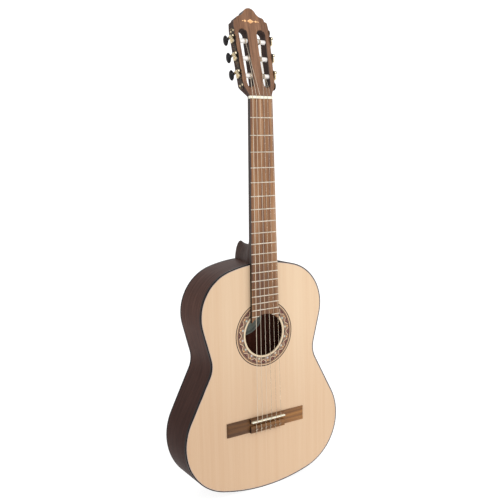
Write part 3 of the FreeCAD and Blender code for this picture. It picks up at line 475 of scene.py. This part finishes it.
GEARS = [f"gear_{n}" for n in range(1, 7)]
WORMS = [f"worm_{n}" for n in range(1, 7)]
WORM_BRONZE_FROM = 11.2 * MM
dress(make_metal("fret_silver", tint(196, 184, 166), tint(232, 224, 210), 0.24, (60, 900, 900)), "frets")
dress(make_engraved(), "tuner_plate_bass", "tuner_plate_treble")
dress(make_metal("brass_gear", tint(200, 182, 146), tint(232, 216, 184), 0.26), *GEARS, "plate_screws")
dress(make_metal("worm_metal", tint(220, 204, 168), tint(246, 236, 212), 0.3,
                 bronze_from=WORM_BRONZE_FROM), *WORMS)
dress(make_wound(), *[f"string_{n}" for n in (4, 5, 6)])


# %% Finishes: bone, nylon, plastic, paper
def make_plain(name, dark, light, rough, scale, **constants):
    """A fine-grained material: a soft two-tone cloud, and a slight unevenness of shine and surface."""
    stuff = Finish(name, **constants)
    x, y, z = stuff.place()
    cloud = stuff.noise(stuff.vector(x * scale, y * scale, z * scale), detail=4.0)
    colour = stuff.ramp(cloud, (0.36, dark), (0.64, light))
    return stuff.feed(Base_Color=colour, Roughness=rough + cloud * 0.12,
                      Normal=stuff.bump(cloud, 0.00003, 0.4))


def make_label():
    paper = Finish("label_paper")
    x, y, z = paper.place()
    low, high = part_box("label")
    centre, half = (low + high) / 2, (high - low) / 2
    reach = (((x - centre.x) / half.x) ** 2.0 + ((z - centre.z) / half.z) ** 2.0) ** 0.5
    fibre = paper.noise(paper.vector(x * 700, y * 700, z * 700), detail=4.0)
    colour = paper.ramp(fibre, (0.35, tint(158, 168, 158)), (0.65, tint(188, 196, 184)))
    ink = paper.step(abs(reach - 0.90), 0.014, 0.008) + paper.step(abs(reach - 0.84), 0.010, 0.005)
    colour = paper.mix(ink, colour, tint(84, 88, 84))
    return paper.feed(Base_Color=colour, Roughness=0.75 + fibre * 0.15,
                      Normal=paper.bump(fibre, 0.00005, 0.5))


ROLLERS = [f"roller_{n}" for n in range(1, 7)]
BUTTONS = [f"button_{n}" for n in range(1, 7)]
dress(make_plain("bone", tint(232, 222, 196), tint(250, 244, 226), 0.3, 160,
                 Subsurface_Weight=0.08), "nut", "saddle")
dress(make_plain("nylon", tint(214, 198, 176), tint(234, 220, 200), 0.2, 300,
                 Transmission_Weight=0.6, IOR=1.4), "string_1", "string_2", "string_3")
dress(make_plain("roller_white", tint(232, 226, 222), tint(250, 246, 242), 0.35, 220), *ROLLERS)
dress(make_plain("button_black", tint(12, 9, 11), tint(24, 19, 22), 0.25, 120,
                 Specular_IOR_Level=0.2), *BUTTONS)
dress(make_label(), "label")

# %% [markdown]
# ## Turns of string on the rollers
# Each string stops where it first touches its roller, because from there on it turns with the roller. A
# coil continues it: a ring of the string's thickness, swept round the roller's axis by the Screw modifier.
# The ring starts exactly at the end of the straight string, so the two read as one.

# %% Helpers for new pieces
GAUGE = {1: 0.72, 2: 0.82, 3: 1.03, 4: 0.76, 5: 0.91, 6: 1.12}
STRING_FINISH = {n: nodes[f"string_{n}"].data.materials[0] for n in GAUGE}
RING_CORNERS = 10


def deselect():
    if bpy.context.object and bpy.context.object.mode != "OBJECT":
        bpy.ops.object.mode_set(mode="OBJECT")
    bpy.ops.object.select_all(action="DESELECT")


def start_ring(name, radius, spot=(0, 0, 0), turn=(0, 0, 0)):
    """An open ring of edges at spot, with its place already in the mesh."""
    deselect()
    bpy.ops.mesh.primitive_circle_add(vertices=RING_CORNERS, radius=radius, location=spot, rotation=turn)
    made = bpy.context.object
    made.name = name
    bpy.ops.object.transform_apply(location=True, rotation=True, scale=True)
    return made


def close_ends():
    """Caps the open ends of the piece being edited and turns every face outwards."""
    bpy.ops.object.mode_set(mode="EDIT")
    bpy.ops.mesh.select_all(action="SELECT")
    bpy.ops.mesh.fill_holes(sides=0)
    bpy.ops.mesh.select_all(action="SELECT")
    bpy.ops.mesh.normals_make_consistent(inside=False)
    bpy.ops.object.mode_set(mode="OBJECT")
    bpy.ops.object.shade_smooth_by_angle(angle=math.radians(40))


def finish_piece(made, material, body):
    made.data.materials.append(material)
    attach(made, body)


def end_of(name, highest, reach=0.0005):
    """The middle of a string's upper or lower end, from its own vertices."""
    points = [v.co for v in nodes[name].data.vertices]
    limit = max(p.z for p in points) if highest else min(p.z for p in points)
    ring = [p for p in points if abs(p.z - limit) < reach]
    return sum(ring, Vector()) / len(ring)


# %% Wind the strings
STEPS_PER_TURN, TURN_SPACING = 36, 1.04
TURNS = {6: 3.4, 5: 3.6, 4: 4.4, 3: 3.4, 2: 3.6, 1: 4.2}


def wind(number, turns):
    end = end_of(f"string_{number}", highest=True)
    joint = joints[f"roller_{number}_spin"]
    axle, out = Vector(joint["pos_m"]), Vector(joint["axis"]).normalized()
    radial = end - axle - out * (end - axle).dot(out)
    over = radial.normalized()
    left = out if out.x < 0 else -out
    pitch = GAUGE[number] * MM * TURN_SPACING
    coil = start_ring(f"winding_{number}", GAUGE[number] * MM / 2, (radial.length, 0, 0), (math.pi / 2, 0, 0))
    sweep = coil.modifiers.new("sweep", "SCREW")
    sweep.angle = 2 * math.pi * turns
    sweep.steps = sweep.render_steps = int(STEPS_PER_TURN * turns)
    sweep.screw_offset = pitch * turns * (-1 if out.x < 0 else 1)
    bpy.ops.object.modifier_apply(modifier="sweep")
    close_ends()
    frame_turn = Matrix((over, left.cross(over), left)).transposed().to_4x4()
    coil.matrix_world = Matrix.Translation(end - radial) @ frame_turn
    bpy.ops.object.transform_apply(location=True, rotation=True, scale=True)
    finish_piece(coil, STRING_FINISH[number], f"roller_{number}")
    return coil


for number, turns in TURNS.items():
    coil = wind(number, turns)
    print(coil.name, len(coil.data.polygons), "faces")

# %% [markdown]
# ## Loops on the tie block
# At the bridge each string comes out behind the tie block, turns back over its top, dips behind the saddle
# to pass under itself, and leaves a short tail that is pinned under the loop. A loop is one ring of edges
# that is pushed along in straight runs and spun round corners; the tail is the same, laid across.

# %% Tie the strings
BLOCK_TOP, BLOCK_FRONT = -8.7 * MM, bridge_low.z + 14.5 * MM
CORNER, DIP = 2.0 * MM, 1.5 * MM
LOOP_GAP, EDGE_GAP, LAP = 0.12 * MM, 0.3 * MM, 0.5 * MM
TAIL_ASIDE, TAIL_ALONG, TAIL_RUN, TAIL_RISE = 2.4 * MM, 3.2 * MM, 5.2 * MM, 2.1 * MM
TAIL_TURN = math.radians(68)


def push(x=0.0, y=0.0, z=0.0):
    bpy.ops.mesh.extrude_edges_move(TRANSFORM_OT_translate={"value": (x, y, z)})


def corner(centre, degrees, axis=(1, 0, 0), steps=8):
    bpy.ops.mesh.spin(steps=steps, angle=math.radians(degrees), center=centre, axis=axis)


def tie(number):
    hole = end_of(f"string_{number}", highest=False)
    radius = GAUGE[number] * MM / 2
    top = BLOCK_TOP - radius - LOOP_GAP
    bend = (hole.y - top) / 2
    back_edge = bridge_low.z - EDGE_GAP
    front_edge = BLOCK_FRONT - CORNER + DIP
    loop = start_ring(f"tie_loop_{number}", radius, (hole.x, hole.y, hole.z - LAP))
    bpy.ops.object.mode_set(mode="EDIT")
    bpy.ops.mesh.select_all(action="SELECT")
    push(z=back_edge - hole.z + LAP)
    corner((hole.x, hole.y - bend, back_edge), 180, steps=12)
    push(z=front_edge - back_edge)
    corner((hole.x, top + CORNER, front_edge), 90)
    close_ends()
    finish_piece(loop, STRING_FINISH[number], "guitar")
    tail = start_ring(f"tie_tail_{number}", radius,
                      (hole.x - TAIL_ASIDE, top - radius * 1.7, hole.z + TAIL_ALONG), (0, TAIL_TURN, 0))
    bpy.ops.object.mode_set(mode="EDIT")
    bpy.ops.mesh.select_all(action="SELECT")
    push(x=TAIL_RUN, y=radius * 0.6, z=TAIL_RISE)
    close_ends()
    finish_piece(tail, STRING_FINISH[number], "guitar")


for number in GAUGE:
    tie(number)
print("six strings tied")

# %% [markdown]
# ## An ornament on the head
# The head carries a small gilt ornament between its crown and the slots: a lozenge between two smaller ones,
# with a dot over each of those. It is gold leaf, so it is only a tenth of a millimetre thick, shines like
# metal and has a rim just proud of its middle, which an inset makes.

# %% Lay the ornament
LEAF, LIFT, RIM_SHARE, RIM_STEP = 0.12 * MM, 0.01 * MM, 0.08, 0.35
GILT = make_metal("gilt", tint(214, 156, 104), tint(244, 204, 156), 0.34, (600, 600, 600))


def lay(name, corners, across, along, height, width):
    """Gold leaf with a raised rim on the head's face. across and height are its place, and width by along is
    its size."""
    deselect()
    bpy.ops.mesh.primitive_cylinder_add(vertices=corners, radius=0.5, depth=1)
    leaf = bpy.context.object
    leaf.name = name
    bpy.ops.object.mode_set(mode="EDIT")
    bpy.ops.mesh.select_mode(type="FACE")
    bpy.ops.mesh.select_all(action="DESELECT")
    bpy.ops.object.mode_set(mode="OBJECT")
    for face in leaf.data.polygons:
        face.select = face.normal.z > 0.9
    bpy.ops.object.mode_set(mode="EDIT")
    bpy.ops.mesh.inset(thickness=RIM_SHARE, depth=-RIM_STEP)
    bpy.ops.mesh.select_all(action="SELECT")
    bpy.ops.mesh.normals_make_consistent(inside=False)
    bpy.ops.object.mode_set(mode="OBJECT")
    leaf.scale = (width, along, LEAF)
    bpy.ops.object.transform_apply(location=False, rotation=False, scale=True)
    turn = Matrix((Vector((1, 0, 0)), HEAD_UP, -HEAD_BACK)).transposed().to_4x4()
    leaf.matrix_world = Matrix.Translation(
        HEAD_FACE + HEAD_UP * height + Vector((across, 0, 0)) - HEAD_BACK * (LEAF / 2 + LIFT)) @ turn
    bpy.ops.object.transform_apply(location=True, rotation=True, scale=True)
    finish_piece(leaf, GILT, "guitar")


ORNAMENT_HEIGHT = 151 * MM
lay("ornament_lozenge", 4, 0, 9 * MM, ORNAMENT_HEIGHT, 16 * MM)
for name, side in (("bass", -1), ("treble", 1)):
    lay(f"ornament_wing_{name}", 4, side * 12.5 * MM, 5 * MM, ORNAMENT_HEIGHT, 7 * MM)
    lay(f"ornament_dot_{name}", 20, side * 18 * MM, 2.2 * MM, ORNAMENT_HEIGHT, 2.2 * MM)
print("ornament laid")

# %% [markdown]
# ## The studio
# The guitar stands in a white room with no corners: a floor that curves up into the wall. The bowl is one
# profile that is extruded ring by ring round the guitar, so that every view has the same pale ground. The
# walls and floor glow, and the open top lets in the white sky, so light comes softly from everywhere and the
# ground stays white under the guitar; three large lamps add a direction to it.

# %% The bowl
FLOOR = cad_box[0][2]
ROOM_RADIUS, ROOM_HEIGHT, ROOM_CURVE = 5.0, 4.5, 1.6
ROOM_CORNERS, CURVE_STEPS = 96, 12
deselect()
bpy.ops.mesh.primitive_circle_add(vertices=ROOM_CORNERS, radius=ROOM_RADIUS - ROOM_CURVE,
                                  fill_type="NGON", location=(0, 0, FLOOR))
room = bpy.context.object
room.name = "studio_room"
bpy.ops.object.mode_set(mode="EDIT")
bpy.ops.mesh.select_mode(type="EDGE")
bpy.ops.mesh.select_all(action="SELECT")
bpy.ops.mesh.region_to_loop()
for step in range(CURVE_STEPS):
    before, after = (math.pi / 2 * (step + k) / CURVE_STEPS for k in (0, 1))
    grow = ROOM_CURVE * (math.sin(after) - math.sin(before))
    rise = ROOM_CURVE * (math.cos(before) - math.cos(after))
    reach = ROOM_RADIUS - ROOM_CURVE + ROOM_CURVE * math.sin(before)
    bpy.ops.mesh.extrude_edges_move(TRANSFORM_OT_translate={"value": (0, 0, rise)})
    share = (reach + grow) / reach
    bpy.ops.transform.resize(value=(share, share, 1), center_override=(0, 0, 0))
bpy.ops.mesh.extrude_edges_move(TRANSFORM_OT_translate={"value": (0, 0, ROOM_HEIGHT - ROOM_CURVE)})
bpy.ops.mesh.select_all(action="SELECT")
bpy.ops.mesh.normals_make_consistent(inside=True)
bpy.ops.object.mode_set(mode="OBJECT")
bpy.ops.object.shade_smooth()

paint = Finish("studio_white", Specular_IOR_Level=0.0, Emission_Strength=0.88, Emission_Color=(1, 1, 1, 1))
px, py, pz = paint.place()
speck = paint.noise(paint.vector(px * 3, py * 3, pz * 3))
wall = paint.ramp(speck, (0.3, tint(138, 138, 138)), (0.7, tint(146, 146, 146)))
room.data.materials.append(paint.feed(Base_Color=wall, Roughness=0.8 + speck * 0.1))
print("room", ROOM_RADIUS, "m")


# %% The lamps
def soft_lamp(name, spot, aim, size, power):
    """A square lamp at spot, turned towards aim."""
    bpy.ops.object.light_add(type="AREA", location=spot)
    lamp = bpy.context.object
    lamp.name = name
    lamp.data.size, lamp.data.energy = size, power
    lamp.rotation_euler = (Vector(aim) - Vector(spot)).to_track_quat("-Z", "Y").to_euler()
    return lamp


MIDDLE = (0, 0, 0.5)
deselect()
soft_lamp("key", (2.2, -1.6, 1.7), MIDDLE, 1.4, 19)
soft_lamp("fill", (-1.0, -3.0, 1.6), MIDDLE, 2.2, 3)
soft_lamp("rim", (0.6, 2.6, 2.2), MIDDLE, 1.6, 8)
world = bpy.data.worlds.new("studio_air")
bpy.context.scene.world = world
world.use_nodes = True
sky = world.node_tree.nodes["Background"]
sky.inputs["Color"].default_value = (1, 1, 1, 1)
sky.inputs["Strength"].default_value = 0.7
bpy.context.scene.view_settings.view_transform = "Standard"

# %% [markdown]
# ## The camera
# The camera stands to the left of the guitar and a little above its middle, and looks slightly down at it,
# through a 50 mm lens. Its place is worked out from the point it looks at, its distance, and its two
# angles.

# %% The camera
TARGET = Vector((-0.0300, 0.0, 0.5047))
AZIMUTH, ELEVATION, ROLL = math.radians(-32.09), math.radians(7.4), math.radians(-1.25)
DISTANCE, LENS = 1.3839, 49.87
level = Vector((math.sin(AZIMUTH), -math.cos(AZIMUTH), 0))
back = level * math.cos(ELEVATION) + Vector((0, 0, math.sin(ELEVATION)))
right = Vector((0, 0, 1)).cross(back).normalized()
up = back.cross(right)
camera_right = right * math.cos(ROLL) + up * math.sin(ROLL)
camera_up = up * math.cos(ROLL) - right * math.sin(ROLL)
bpy.ops.object.camera_add()
camera = bpy.context.object
camera.data.lens, camera.data.sensor_width = LENS, 36
turn = Matrix((camera_right, camera_up, back)).transposed().to_4x4()
camera.matrix_world = Matrix.Translation(TARGET + back * DISTANCE) @ turn
bpy.context.scene.camera = camera
print("camera at", [round(v, 3) for v in camera.location])
